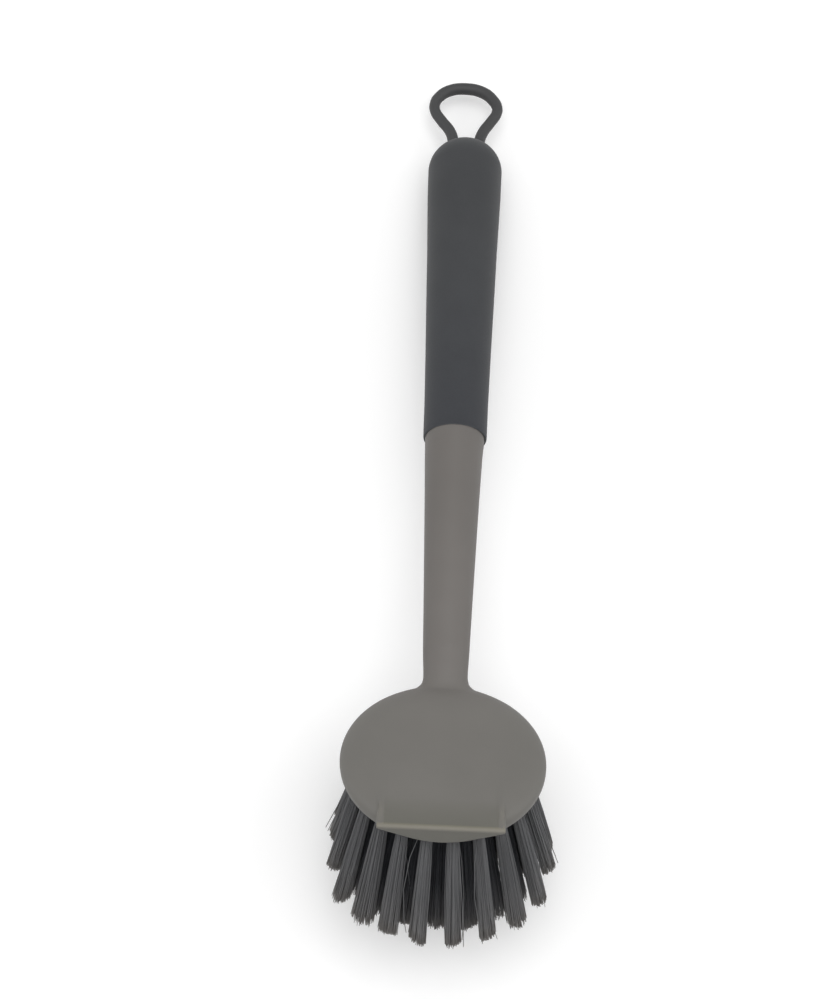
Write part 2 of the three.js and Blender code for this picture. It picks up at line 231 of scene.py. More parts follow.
def moulded_finish(name, dark, light, drift, grain, gloss, bump):
    """A plastic: two colours, drift and grain per metre, a range of roughness and a bump height in metres."""
    finish, tree, shader = new_finish(name)
    link = tree.links.new
    place = add_node(tree, "TexCoord")
    slow = add_node(tree, "TexNoise", {"Scale": drift, "Detail": 4})
    fine = add_node(tree, "TexNoise", {"Scale": grain, "Detail": 3})
    for noise in (slow, fine):
        link(place.outputs["Object"], noise.inputs["Vector"])
    blend = add_node(tree, "Math", {1: GRAIN_SHARE}, operation="MULTIPLY_ADD")
    link(fine.outputs["Fac"], blend.inputs[0])
    link(slow.outputs["Fac"], blend.inputs[2])
    tones = add_node(tree, "ValToRGB")
    for stop, position, colour in zip(tones.color_ramp.elements, TONE_RANGE, (dark, light)):
        stop.position = position
        stop.color = (*colour, 1)
    link(blend.outputs[0], tones.inputs["Fac"])
    link(tones.outputs["Color"], shader.inputs["Base Color"])
    sheen = add_node(tree, "MapRange", {"From Min": GRAIN_RANGE[0], "From Max": GRAIN_RANGE[1]})
    sheen.inputs["To Min"].default_value = gloss[0]
    sheen.inputs["To Max"].default_value = gloss[1]
    link(fine.outputs["Fac"], sheen.inputs["Value"])
    link(sheen.outputs["Result"], shader.inputs["Roughness"])
    relief = add_node(tree, "Bump", {"Strength": BUMP_STRENGTH, "Distance": bump})
    link(fine.outputs["Fac"], relief.inputs["Height"])
    link(relief.outputs["Normal"], shader.inputs["Normal"])
    return finish


# %% The warm grey body, the dark soft grip and the loop
satin_grey = moulded_finish(
    "satin_grey_plastic",
    dark=(0.140, 0.1345, 0.1225),
    light=(0.158, 0.1515, 0.1385),
    drift=38,
    grain=2400,
    gloss=(0.46, 0.6),
    bump=0.00003,
)
soft_touch = moulded_finish(
    "soft_touch_grip",
    dark=(0.0300, 0.0320, 0.0352),
    light=(0.0375, 0.0398, 0.0432),
    drift=55,
    grain=3600,
    gloss=(0.68, 0.84),
    bump=0.00005,
)
loop_grey = moulded_finish(
    "loop_plastic",
    dark=(0.0385, 0.0385, 0.0400),
    light=(0.0475, 0.0475, 0.0490),
    drift=90,
    grain=2600,
    gloss=(0.5, 0.64),
    bump=0.00002,
)
soft_touch.node_tree.nodes["Principled BSDF"].inputs["Sheen Weight"].default_value = 0.12
soft_touch.node_tree.nodes["Principled BSDF"].inputs["Sheen Roughness"].default_value = 0.5
print("finishes", [finish.name for finish in (satin_grey, soft_touch, loop_grey)])

# %% [markdown]
# Shades
#
# The lip is paler, partly from wear where it scrapes and partly from a painted highlight, and a highlight is
# painted on the hood's flanks beside it. Shade is painted in the scoop behind the lip and on the face under
# it, the shaft is a touch warmer than the head, and the sleeve is cooler towards its start and has a
# highlight painted on its first edge. A painter would mask each of these. Here a mask is a mark on the mesh,
# made once the piece has its shape, and the finish is multiplied by a shade where the mark is strong.

# %% Let a mark tint a finish
SHADES = [
    # painted highlight on the lip and on the flanks beside it, with some real wear on the lip
    (satin_grey, "rubbed", (1.32, 1.29, 1.16, 1)),
    # painted shade in the scoop behind the lip and on the face under it
    (satin_grey, "hollow", (0.84, 0.855, 0.79, 1)),
    (satin_grey, "warmer", (0.935, 0.90, 0.915, 1)),
    (soft_touch, "cooler", (0.82, 0.84, 0.92, 1)),
    # painted highlight on the sleeve's front edge, over the shade at the joint
    (soft_touch, "eased", (1.9, 1.85, 1.7, 1)),
]


def tint(finish, name, colour):
    """Lets the mark of this name say how much a finish is multiplied by a colour."""
    tree = finish.node_tree
    base = tree.nodes["Principled BSDF"].inputs["Base Color"]
    amount = add_node(tree, "Attribute", attribute_name=name)
    tone = add_node(tree, "Mix", data_type="RGBA", blend_type="MULTIPLY")
    tone.inputs["B"].default_value = colour
    tree.links.new(amount.outputs["Fac"], tone.inputs["Factor"])
    tree.links.new(base.links[0].from_socket, tone.inputs["A"])
    tree.links.new(tone.outputs["Result"], base)


for finish, name, colour in SHADES:
    tint(finish, name, colour)
print("shades", [name for finish, name, colour in SHADES])

# %% [markdown]
# One piece at a time
#
# By hand one clicks a piece, adds a modifier and presses apply. In a script an operator acts on all that is
# selected, and loading leaves the CAD pieces selected. So each helper first picks the one piece it means.

# %% Pick, change and join pieces


def pick_only(piece):
    """Selects one object and makes it active."""
    bpy.ops.object.select_all(action="DESELECT")
    piece.select_set(True)
    bpy.context.view_layer.objects.active = piece


def apply_modifier(piece, kind, **settings):
    """Adds a modifier with these settings and applies it at once."""
    pick_only(piece)
    modifier = piece.modifiers.new(kind.lower(), kind)
    for name, value in settings.items():
        setattr(modifier, name, value)
    bpy.ops.object.modifier_apply(modifier=modifier.name)


def combine(piece, other, way):
    """Joins the other shape to the piece (UNION) or cuts it out (DIFFERENCE), and throws the other away."""
    apply_modifier(piece, "BOOLEAN", operation=way, solver="EXACT", object=other)
    bpy.data.objects.remove(other)


def face_outwards(piece):
    """Turns every face of a closed shell to the outside."""
    pick_only(piece)
    bpy.ops.object.mode_set(mode="EDIT")
    bpy.ops.mesh.select_all(action="SELECT")
    bpy.ops.mesh.normals_make_consistent(inside=False)
    bpy.ops.object.mode_set(mode="OBJECT")


# %% [markdown]
# Head
#
# The back of the head is a flat disc with a rolled edge. Its front is drawn out into a hood that carries a
# straight scraping lip. The faces between the round rim and the straight lip are ruled: a straight stick
# would lie on them. A convex hull makes just such faces. So the circles of the disc are wrapped in one skin,
# the rim's front and the bar of the lip in another, and the two are joined.

# %% Wrap the disc
HEAD_RADIUS = 29
HEAD_OVAL = 0.985
HEAD_TOP = 3
HEAD_UNDERSIDE = -4.5
ROLL = 9
RIM_HIGH = -0.5
RIM_LOW = -2
UNDERSIDE_BEVEL = 2.8
ROLL_STEPS = 10
RIM_CORNERS = 180

profile = [(HEAD_RADIUS - UNDERSIDE_BEVEL, HEAD_UNDERSIDE), (HEAD_RADIUS, RIM_LOW)]
for step in range(ROLL_STEPS + 1):
    angle = math.pi / 2 * step / ROLL_STEPS
    radius = HEAD_RADIUS - ROLL + ROLL * math.cos(angle)
    profile.append((radius, RIM_HIGH + (HEAD_TOP - RIM_HIGH) * math.sin(angle)))

bpy.ops.object.select_all(action="DESELECT")
bpy.ops.mesh.primitive_circle_add(vertices=RIM_CORNERS, radius=profile[0][0] * MM, location=(0, 0, 0))
body = bpy.context.object
body.name = "brush_body"
bpy.ops.object.mode_set(mode="EDIT")
bpy.ops.transform.translate(value=(0, 0, profile[0][1] * MM))
for radius, height in profile[1:]:
    bpy.ops.mesh.primitive_circle_add(vertices=RIM_CORNERS, radius=radius * MM, location=(0, 0, height * MM))
bpy.ops.mesh.select_all(action="SELECT")
bpy.ops.transform.resize(value=(1, HEAD_OVAL, 1), center_override=(0, 0, 0))
bpy.ops.mesh.convex_hull()
bpy.ops.object.mode_set(mode="OBJECT")
face_outwards(body)
print("disc in mm", [round(v / MM, 2) for v in body.dimensions])

# %% Shape the bar of the lip
LIP_REACH = 28.5
LIP_HALF_WIDTH = 17.5
LIP_TOP = 3.6
LIP_FOOT = 2.7
LIP_THICKNESS = 1.1
LIP_EASE = 0.6

bar_y = (LIP_THICKNESS / 2 - LIP_REACH) * MM
bar_z = (LIP_TOP + LIP_FOOT) / 2 * MM
bpy.ops.object.select_all(action="DESELECT")
bpy.ops.mesh.primitive_cube_add(size=MM, location=(0, 0, 0))
hood = bpy.context.object
bpy.ops.object.mode_set(mode="EDIT")
bpy.ops.transform.resize(value=(2 * LIP_HALF_WIDTH, LIP_THICKNESS, LIP_TOP - LIP_FOOT))
bpy.ops.transform.translate(value=(0, bar_y, bar_z))
mesh = bmesh.from_edit_mesh(hood.data)
for edge in mesh.edges:
    edge.select_set(all(corner.co.y < bar_y and corner.co.z > bar_z for corner in edge.verts))
bmesh.update_edit_mesh(hood.data)
bpy.ops.mesh.bevel(offset=LIP_EASE * MM, segments=4, profile=0.5)
bpy.ops.object.mode_set(mode="OBJECT")
print("bar of the lip in mm", [round(v / MM, 2) for v in hood.dimensions])

# %% Wrap the hood round the bar and the rim's front, and join it to the disc
HOOD_START = -13.5
HOOD_LEVEL = 2.85
HOOD_HALF_WIDTH = 17.2
HOOD_REACH = -22.6
HOOD_INSET = 0.1
HOOD_START_DEPTH = 0.2

pick_only(hood)
bpy.ops.object.mode_set(mode="EDIT")
rim_radius = (HEAD_RADIUS - HOOD_INSET) * MM
for height in (RIM_HIGH, RIM_LOW):
    bpy.ops.mesh.primitive_circle_add(vertices=RIM_CORNERS, radius=rim_radius, location=(0, 0, height * MM))
    bpy.ops.transform.resize(value=(1, HEAD_OVAL, 1), center_override=(0, 0, 0))
mesh = bmesh.from_edit_mesh(hood.data)
for corner in mesh.verts:
    corner.select_set(corner.co.y > HOOD_REACH * MM)
bmesh.update_edit_mesh(hood.data)
bpy.ops.mesh.delete(type="VERT")
bpy.ops.mesh.primitive_plane_add(size=MM, location=(0, HOOD_START * MM, HOOD_LEVEL * MM))
bpy.ops.transform.resize(value=(2 * HOOD_HALF_WIDTH, HOOD_START_DEPTH, 1))
bpy.ops.mesh.select_all(action="SELECT")
bpy.ops.mesh.convex_hull()
bpy.ops.object.mode_set(mode="OBJECT")
face_outwards(hood)
combine(body, hood, "UNION")
print("head in mm", [round(v / MM, 2) for v in body.dimensions])

# %% [markdown]
# Scoop
#
# Behind the lip the back dips a little and then curls up, so that the lip can lift scraps. A cutter is drawn
# as that outline seen from the side, extruded across the head, and widened towards its top, as a mould's core
# has to be to come free.

# %% Draw the scoop's outline
SCOOP_DEPTH = 0.5
SCOOP_DEEPEST = -19
SCOOP_END = -7
SCOOP_CURL = 3
SCOOP_EASE = 4
SCOOP_RUN_OUT = 0.05
CUTTER_TOP = 6
CURVE_STEPS = 16


def bezier(points, share):
    """A point at this share of the way along a cubic curve."""
    a, b, c, d = (np.array(p, float) for p in points)
    rest = 1 - share
    return rest**3 * a + 3 * rest**2 * share * b + 3 * rest * share**2 * c + share**3 * d


lip_back = LIP_THICKNESS - LIP_REACH
scoop_floor = HEAD_TOP - SCOOP_DEPTH
crest = (lip_back, LIP_TOP)
below_crest = (lip_back + SCOOP_CURL, (LIP_TOP + scoop_floor) / 2)
deepest = (SCOOP_DEEPEST, scoop_floor)
end = (SCOOP_END, HEAD_TOP + SCOOP_RUN_OUT)
curl = [crest, below_crest, (SCOOP_DEEPEST - SCOOP_EASE, scoop_floor), deepest]
run_out = [deepest, (SCOOP_DEEPEST + SCOOP_EASE, scoop_floor), (SCOOP_END - SCOOP_EASE, end[1]), end]
outline = [bezier(curl, i / CURVE_STEPS) for i in range(CURVE_STEPS)]
outline += [bezier(run_out, i / CURVE_STEPS) for i in range(CURVE_STEPS + 1)]
outline += [(SCOOP_END, CUTTER_TOP), (lip_back, CUTTER_TOP)]
print("scoop runs from", round(lip_back, 1), "to", SCOOP_END, "mm")

# %% Cut the scoop
SCOOP_HALF_WIDTH = 15.6
SCOOP_DRAFT = 0.3

bpy.ops.object.select_all(action="DESELECT")
bpy.ops.mesh.primitive_circle_add(vertices=len(outline), radius=MM, fill_type="NGON")
scoop = bpy.context.object
for corner, (along, height) in zip(scoop.data.vertices, outline):
    corner.co = Vector((-1, along, height)) * MM
bpy.ops.object.mode_set(mode="EDIT")
bpy.ops.mesh.select_all(action="SELECT")
bpy.ops.mesh.extrude_region_move(TRANSFORM_OT_translate={"value": (2 * MM, 0, 0)})
bpy.ops.object.mode_set(mode="OBJECT")
for corner in scoop.data.vertices:
    corner.co.x *= SCOOP_HALF_WIDTH + SCOOP_DRAFT * (corner.co.z / MM - scoop_floor)
face_outwards(scoop)
combine(body, scoop, "DIFFERENCE")
print("scoop cut", SCOOP_DEPTH, "mm deep")

# %% [markdown]
# Holes for the tufts
#
# Each tuft sits in a round hole in the underside, and the outer rings lean outwards. One list of rings
# places the holes here and the tufts later, so they can't drift apart. The drill bits are cylinders added to
# one mesh, which starts empty, and one cut takes them all.

# %% Lay out the rings
RINGS = [
    {"name": "outer_bristle_ring", "tufts": 20, "radius": 22.4, "splay": 15, "phase": 0.5},
    {"name": "middle_bristle_ring", "tufts": 18, "radius": 16.9, "splay": 14.5, "phase": 0},
    {"name": "inner_bristle_ring", "tufts": 10, "radius": 11, "splay": 10, "phase": 0.5},
    {"name": "centre_bristle_ring", "tufts": 4, "radius": 4.8, "splay": 5, "phase": 0},
]


def tuft_places(ring):
    """For each tuft of a ring: its root on the underside, the way it grows, and the way across it."""
    places = []
    for tuft in range(ring["tufts"]):
        turn = 2 * math.pi * (tuft + ring["phase"]) / ring["tufts"]
        outward = Vector((math.sin(turn), -math.cos(turn), 0))
        root = outward * ring["radius"] + Vector((0, 0, HEAD_UNDERSIDE))
        splay = math.radians(ring["splay"])
        growth = outward * math.sin(splay) - Vector((0, 0, 1)) * math.cos(splay)
        places.append((root, growth, outward.cross(Vector((0, 0, 1)))))
    return places


print("tufts in each ring", [ring["tufts"] for ring in RINGS])

# %% Drill the tuft holes
HOLE_RADIUS = 1.8
HOLE_DEPTH = 2.6
BIT_STANDS_OUT = 2
BIT_CORNERS = 28
DRILL_ORIGIN = (0, 0, 0.5)

bpy.ops.object.select_all(action="DESELECT")
bpy.ops.mesh.primitive_cylinder_add(vertices=BIT_CORNERS, radius=MM, depth=MM, location=DRILL_ORIGIN)
drill = bpy.context.object
bpy.ops.object.mode_set(mode="EDIT")
bpy.ops.mesh.delete(type="VERT")
for ring in RINGS:
    for root, growth, across in tuft_places(ring):
        middle = root - growth * (HOLE_DEPTH / 2 - BIT_STANDS_OUT / 2)
        bpy.ops.mesh.primitive_cylinder_add(
            vertices=BIT_CORNERS,
            radius=HOLE_RADIUS * MM,
            depth=(HOLE_DEPTH + BIT_STANDS_OUT) * MM,
            location=middle * MM,
            rotation=growth.to_track_quat("Z", "Y").to_euler(),
        )
bpy.ops.object.mode_set(mode="OBJECT")
combine(body, drill, "DIFFERENCE")
print("holes", sum(ring["tufts"] for ring in RINGS))

# %% [markdown]
# Neck and shaft
#
# The handle leaves the rim low and flat, bends up and grows rounder. A boat builder would set up ribs and
# plank them. Here a filled ring is put on the first rib, and each extrude carries it on to the next, so the
# skin is closed at both ends. Ribs that turn with the bend keep the form even. A moulding this long is never
# quite straight, so the shaft bows a fifth of a millimetre. Past the shoulder a thinner core runs into the
# grip.

# %% Set up ribs along the handle
NECK_Y = 27.1
BEND = 10
HANDLE_RISE = math.radians(19.3)


def handle_place(along):
    """Where the handle's middle line is on the bench at this distance from the neck, and its slope there."""
    rise = np.array([math.cos(HANDLE_RISE), math.sin(HANDLE_RISE)])
    if along >= BEND:
        return Vector((0, NECK_Y + along * rise[0], along * rise[1])), HANDLE_RISE
    share = (along + BEND) / (2 * BEND)
    start, knee = np.array([NECK_Y - BEND, 0]), np.array([NECK_Y, 0])
    end = knee + BEND * rise
    at = (1 - share) ** 2 * start + 2 * share * (1 - share) * knee + share**2 * end
    way = (1 - share) * (knee - start) + share * (end - knee)
    return Vector((0, at[0], at[1])), math.atan2(way[1], way[0])


def across_handle(along, sink=0, aside=0):
    """The matrix of a plane square to the handle, sunk below its middle line or set aside from it."""
    place, slope = handle_place(along)
    place = place + Vector((aside, 0, -sink))
    return Matrix.Translation(place * MM) @ Matrix.Rotation(math.pi / 2 + slope, 4, "X")


def rib(along, width, height, sink=0, aside=0):
    """The matrix that carries a circle of radius 1 on to a rib."""
    size = Matrix.Diagonal((width / 2 * MM, height / 2 * MM, MM, 1))
    return across_handle(along, sink, aside) @ size


print("handle rises", round(math.degrees(HANDLE_RISE), 1), "degrees from the head")

# %% Carry a ring from rib to rib
RIB_CORNERS = 96


def skin(name, ribs):
    """Carries a filled ring from rib to rib with one extrude each, and returns the closed piece."""
    bpy.ops.object.select_all(action="DESELECT")
    bpy.ops.mesh.primitive_circle_add(vertices=RIB_CORNERS, radius=1, fill_type="NGON")
    piece = bpy.context.object
    piece.name = name
    bpy.ops.object.mode_set(mode="EDIT")
    last = Matrix.Identity(4)
    for number, place in enumerate(ribs):
        if number:
            bpy.ops.mesh.extrude_region_move()
        mesh = bmesh.from_edit_mesh(piece.data)
        step = place @ last.inverted()
        bmesh.ops.transform(mesh, matrix=step, verts=[v for v in mesh.verts if v.select])
        bmesh.update_edit_mesh(piece.data)
        last = place
    bpy.ops.object.mode_set(mode="OBJECT")
    face_outwards(piece)
    print(name, "in mm", [round(v / MM, 1) for v in piece.dimensions])
    return piece


# %% Plank the shaft
# Each row: distance from the neck, width, height, how far it is sunk and how far it is set aside
SHAFT = np.array(
    [
        (-10, 28, 4.5, 0.75, 0),
        (-3.4, 24.6, 5.2, 1.2, 0),
        (-0.6, 20.4, 5.8, 1.4, 0),
        (0.6, 17, 6.2, 1.4, 0),
        (2, 14.1, 6.6, 1.3, -0.05),
        (4, 13.15, 7.4, 1.05, -0.1),
        (6, 13.15, 8.1, 0.85, -0.15),
        (13, 13.7, 10, 0.3, -0.22),
        (26, 14.4, 11.8, 0, -0.22),
        (46, 15.6, 13.9, 0, -0.22),
        (64, 16.7, 15.7, 0, -0.22),
        (78, 17.7, 17.3, 0, -0.2),
        (86, 18.45, 18.2, 0, -0.03),
    ]
)
SHOULDER = 86
SHOULDER_STEP = 0.01
CORE = 14.9
CORE_END = 99
RIB_START = -8.5
RIB_STEP = 3

stations = np.union1d(SHAFT[:, 0], np.arange(RIB_START, SHOULDER, RIB_STEP))
columns = [np.interp(stations, SHAFT[:, 0], column) for column in SHAFT.T]
ribs = [rib(*row) for row in zip(*columns)]
ribs += [rib(SHOULDER + SHOULDER_STEP, CORE, CORE), rib(CORE_END, CORE, CORE)]
shaft = skin("shaft", ribs)

# %% [markdown]
# Fuse and soften
#
# On the real moulding nothing is sharp: the neck flows into the head, and every edge is eased. Sculptors
# fuse rough forms by remeshing them with small voxels and then smoothing, which is done here. One smoothing
# eases every edge a little. Two more are held to a place by a vertex group, and melt the fillets at the neck
# and the hood's flanks. Then the flat parts give up the small faces that they don't need.

# %% Fuse the head and the shaft
VOXEL = 0.3

pick_only(body)
shaft.select_set(True)
bpy.ops.object.join()
apply_modifier(body, "REMESH", mode="VOXEL", voxel_size=VOXEL * MM)
print("fused body has", len(body.data.polygons), "faces")

# %% Say where the fillets melt
FILLET_MIDDLE = (8, NECK_Y + 1)
FILLET_REACH = 9
FILLET_STRETCH = 1.6
FLANK_MIDDLE = (18.2, -18)
FLANK_REACH = 6

neck = body.vertex_groups.new(name="neck")
flank = body.vertex_groups.new(name="flank")
for vertex in body.data.vertices:
    x, y, z = vertex.co / MM
    off_fillet = math.hypot((abs(x) - FILLET_MIDDLE[0]) / FILLET_STRETCH, y - FILLET_MIDDLE[1])
    off_flank = math.hypot(abs(x) - FLANK_MIDDLE[0], y - FLANK_MIDDLE[1])
    near_neck = 1 - off_fillet / FILLET_REACH
    near_flank = 1 - off_flank / FLANK_REACH
    if near_neck > 0:
        neck.add([vertex.index], min(1, 2 * near_neck), "REPLACE")
    if near_flank > 0 and z > RIM_HIGH:
        flank.add([vertex.index], min(1, 2 * near_flank), "REPLACE")
print("vertex groups", [group.name for group in body.vertex_groups])

# %% Smooth it and thin it out
KEPT_FACES = 0.42

apply_modifier(body, "SMOOTH", factor=0.5, iterations=8)
apply_modifier(body, "SMOOTH", factor=0.5, iterations=40, vertex_group="neck")
apply_modifier(body, "SMOOTH", factor=0.5, iterations=30, vertex_group="flank")
apply_modifier(body, "DECIMATE", ratio=KEPT_FACES)
print("smooth body has", len(body.data.polygons), "faces")

# %% [markdown]
# The body's shades and its place
#
# A shaped piece still lacks three things: the marks that its finish reads, its place in the frame, and word
# of the CAD nodes that it stands for. By hand the marks would be painted on. Here they follow from where a
# corner lies: on the lip, with a painted highlight and some wear, on the flanks beside it, with a painted
# highlight, in the scoop behind the lip and on the face under it, with painted shade, or along the shaft.
# Two helpers do this for every piece.

# %% Mark a mesh, and settle a finished piece


def mark(mesh, **shares):
    """Stores one value for each corner of a mesh under each name, for a finish to read."""
    for name, values in shares.items():
        attribute = mesh.attributes.new(name, "FLOAT", "POINT")
        attribute.data.foreach_set("value", np.asarray(values, np.float32))


def settle(piece, finish, slot, *nodes):
    """Lays a finished piece into the frame, gives it its finish and lets it stand for its CAD nodes."""
    pick_only(piece)
    piece.matrix_world = bench_to_frame @ piece.matrix_world
    bpy.ops.object.transform_apply(location=True, rotation=True, scale=True)
    piece.data.materials.clear()
    piece.data.materials.append(finish)
    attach(piece, "root")
    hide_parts(*nodes)
    piece.data.calc_loop_triangles()
    print(piece.name, "has", len(piece.data.loop_triangles), "triangles")


# %% Mark the body and settle it
# The lip's crest: a painted highlight with some wear; the flanks beside it: a painted highlight
LIP_MARGIN = 0.3
RUB_DEPTH = 0.8
RUB_RISE = 1.2
FLANK_RUB = (16.6, -22.5)
FLANK_RUB_REACH = (1.6, 5)
FLANK_RUB_SHARE = 0.35
# Painted shade: how far back it reaches in the scoop, and how strong it is under the lip
HOLLOW_END = -17
HOLLOW_CURVE = 0.7
FRONT_DEPTH = 4
FRONT_SHARE = 0.7
WARM_START = NECK_Y - 12
WARM_RUN = 17

x, y, z = np.array([vertex.co for vertex in body.data.vertices]).T / MM
on_lip = np.clip((z - LIP_TOP) / RUB_DEPTH + RUB_RISE, 0, 1)
off_rub = np.hypot(
    (abs(x) - FLANK_RUB[0]) / FLANK_RUB_REACH[0],
    (y - FLANK_RUB[1]) / FLANK_RUB_REACH[1],
)
beside_lip = FLANK_RUB_SHARE * np.clip(1 - off_rub, 0, 1)
behind_lip = np.clip((HOLLOW_END - y) / (HOLLOW_END - lip_back), 0, 1) ** HOLLOW_CURVE
in_scoop = (abs(x) < SCOOP_HALF_WIDTH) & (y > lip_back) & (z > RIM_HIGH)
under_lip = (y < lip_back + FRONT_DEPTH) & (z < LIP_FOOT)
mark(
    body.data,
    # painted highlight with some wear on the lip's crest, painted highlight on the flanks
    rubbed=np.where(y < lip_back + LIP_MARGIN, on_lip, beside_lip),
    # painted shade in the scoop behind the lip and on the face under it
    hollow=np.where(in_scoop, behind_lip, FRONT_SHARE * under_lip),
    warmer=np.clip((y - WARM_START) / WARM_RUN, 0, 1),
)
pick_only(body)
bpy.ops.object.shade_smooth()
settle(body, satin_grey, "body_plastic", "handle_body")

# %% [markdown]
# Grip
#
# The grip is a soft sleeve moulded over the core. It starts with an eased edge that laps the shaft's shoulder
# and stands a little proud of it, swells slowly and closes in a dome. The same skin as the shaft's makes it,
# from the bottom of its bore out to the edge and along the outside, so the wall is real and closed.

# %% Skin the grip
# Each row: distance from the neck, width and height
GRIP = [
    (CORE_END + 1, 15.4, 15.4),
    (86.4, 15.4, 15.4),
    (86.3, 18.55, 18.3),
    (85.12, 18.55, 18.3),
    (85, 18.6, 18.33),
    (84.98, 18.85, 18.38),
    (85.04, 19.15, 18.43),
    (85.22, 19.4, 18.48),
    (85.6, 19.6, 18.55),
    (88, 19.7, 18.7),
    (97, 19.85, 19.06),
    (118, 20.75, 19.92),
    (134, 21.6, 20.74),
    (157, 22.7, 21.79),
    (178, 24.05, 22.94),
    (189, 24.35, 23.04),
]
DOME = 11.8
DOME_STEPS = 22
DOME_CLOSED = 0.985

dome_start, dome_width, dome_height = GRIP[-1]
ribs = [rib(*row) for row in GRIP]
for step in range(1, DOME_STEPS + 1):
    angle = math.pi / 2 * min(step / DOME_STEPS, DOME_CLOSED)
    share = math.cos(angle)
    ribs.append(rib(dome_start + DOME * math.sin(angle), dome_width * share, dome_height * share))
grip = skin("soft_grip_sleeve", ribs)

# %% Punch the holes for the loop's legs
LEG_X = 4.4
LEG_HOLE_RADIUS = 2.05
LEG_HOLE_MIDDLE = 196
PUNCH_LENGTH = 24
PUNCH_CORNERS = 40

for side in (-1, 1):
    bpy.ops.object.select_all(action="DESELECT")
    bpy.ops.mesh.primitive_cylinder_add(
        vertices=PUNCH_CORNERS,
        radius=LEG_HOLE_RADIUS * MM,
        depth=PUNCH_LENGTH * MM,
    )
    punch = bpy.context.object
    punch.matrix_world = across_handle(LEG_HOLE_MIDDLE) @ Matrix.Translation((side * LEG_X * MM, 0, 0))
    combine(grip, punch, "DIFFERENCE")
print("grip has", len(grip.data.polygons), "faces")

# %% Mark the grip and settle it
COOLER_END = 150
# Where the painted highlight on the sleeve's front edge ends
EASED_END = 85.1

x, y, z = np.array([vertex.co for vertex in grip.data.vertices]).T / MM
along = (y - NECK_Y) * math.cos(HANDLE_RISE) + z * math.sin(HANDLE_RISE)
mark(
    grip.data,
    cooler=np.clip((COOLER_END - along) / (COOLER_END - SHOULDER), 0, 1),
    # painted highlight on the sleeve's front edge
    eased=along < EASED_END,
)
pick_only(grip)
bpy.ops.object.shade_smooth_by_angle(angle=math.radians(35))
settle(grip, soft_touch, "grip_rubber", "soft_grip")

# %% [markdown]
# Hanging loop
#
# The loop is one round rod: two legs leave the dome, spread and close in a ring. A rod along a smooth line is
# what a curve with a bevel gives, so the line is drawn as a curve through the measured points and then made a
# mesh. Hanging has pulled the ring a little to one side, and the rod is thinner where it bends most, which
# each point's own radius gives.

# %% Draw the loop's line
# Each row: distance to the right, distance from the neck, and share of the rod's thickness
LOOP = [
    (-LEG_X, 186, 1),
    (-LEG_X, 196, 1),
    (-LEG_X, 202.2, 0.98),
    (-5.6, 206.3, 0.96),
    (-8.5, 210.6, 0.95),
    (-10.8, 214.6, 0.93),
    (-11.1, 217.6, 0.93),
    (-9.75, 220.85, 0.98),
    (-6.1, 223.9, 1.02),
    (-0.6, 224.9, 1.04),
    (5, 223.6, 1.04),
    (8.6, 220.3, 1),
    (10.05, 217.2, 0.94),
    (9.85, 214.5, 0.93),
    (7.85, 210.6, 0.94),
    (5.5, 206.3, 0.96),
    (LEG_X, 202.2, 0.98),
    (LEG_X, 196, 1),
    (LEG_X, 186, 1),
]

bpy.ops.object.select_all(action="DESELECT")
bpy.ops.curve.primitive_bezier_curve_add(radius=MM, location=(0, 0, 0))
loop = bpy.context.object
loop.name = "hanging_loop_rod"
path = loop.data.splines[0]
path.bezier_points.add(len(LOOP) - len(path.bezier_points))
for knot, (x, along, thickness) in zip(path.bezier_points, LOOP):
    knot.co = (handle_place(along)[0] + Vector((x, 0, 0))) * MM
    knot.radius = thickness
    knot.handle_left_type = "AUTO"
    knot.handle_right_type = "AUTO"
print("loop drawn through", len(path.bezier_points), "points")

# %% Make it a rod and settle it
LOOP_ROD = 3.85

path.resolution_u = 10
loop.data.bevel_depth = LOOP_ROD / 2 * MM
loop.data.bevel_resolution = 8
loop.data.use_fill_caps = True
pick_only(loop)
bpy.ops.object.convert(target="MESH")
loop = bpy.context.object
face_outwards(loop)
pick_only(loop)
bpy.ops.object.shade_smooth_by_angle(angle=math.radians(50))
settle(loop, loop_grey, "loop_plastic", "hanging_loop")

# %% [markdown]
# Bristles
#
# A tuft is a bundle of nylon filaments folded round a wire anchor, driven into its hole and then trimmed.
# Nobody models thousands of hairs one by one. One filament is modelled as a thin rod with a few rings, the
# last two close together, and copies of its points are laid along each hair's own gentle curve. Every hair
# keeps a tone of its own in a mark, with painted shade mixed in on the rows behind. A second mark is strong
# at the cut tips, which are paler and warmer as cut ends are, and which get painted light as well.

# %% Model one filament
FILAMENT_RADIUS = 0.12
FILAMENT_SIDES = 4
FILAMENT_STEPS = (0.3, 0.3, 0.28, 0.12)
FILAMENT_TAPER = 0.8

bpy.ops.object.select_all(action="DESELECT")
bpy.ops.mesh.primitive_circle_add(vertices=FILAMENT_SIDES, radius=1, fill_type="NGON")
filament = bpy.context.object
bpy.ops.object.mode_set(mode="EDIT")
for step in FILAMENT_STEPS:
    bpy.ops.mesh.extrude_region_move(TRANSFORM_OT_translate={"value": (0, 0, step)})
bpy.ops.transform.resize(value=(FILAMENT_TAPER, FILAMENT_TAPER, 1))
bpy.ops.object.mode_set(mode="OBJECT")
face_outwards(filament)
hair_points = np.array([v.co for v in filament.data.vertices])
hair_faces = [list(face.vertices) for face in filament.data.polygons]
bpy.data.objects.remove(filament)
print("one filament has", len(hair_faces), "faces")

# %% The nylon finish
# The dark end, tinted blue, is the colour of the painted shade deep among the tufts
NYLON_DARK = (0.0135, 0.0155, 0.0205, 1)
NYLON_LIGHT = (0.232, 0.233, 0.238, 1)
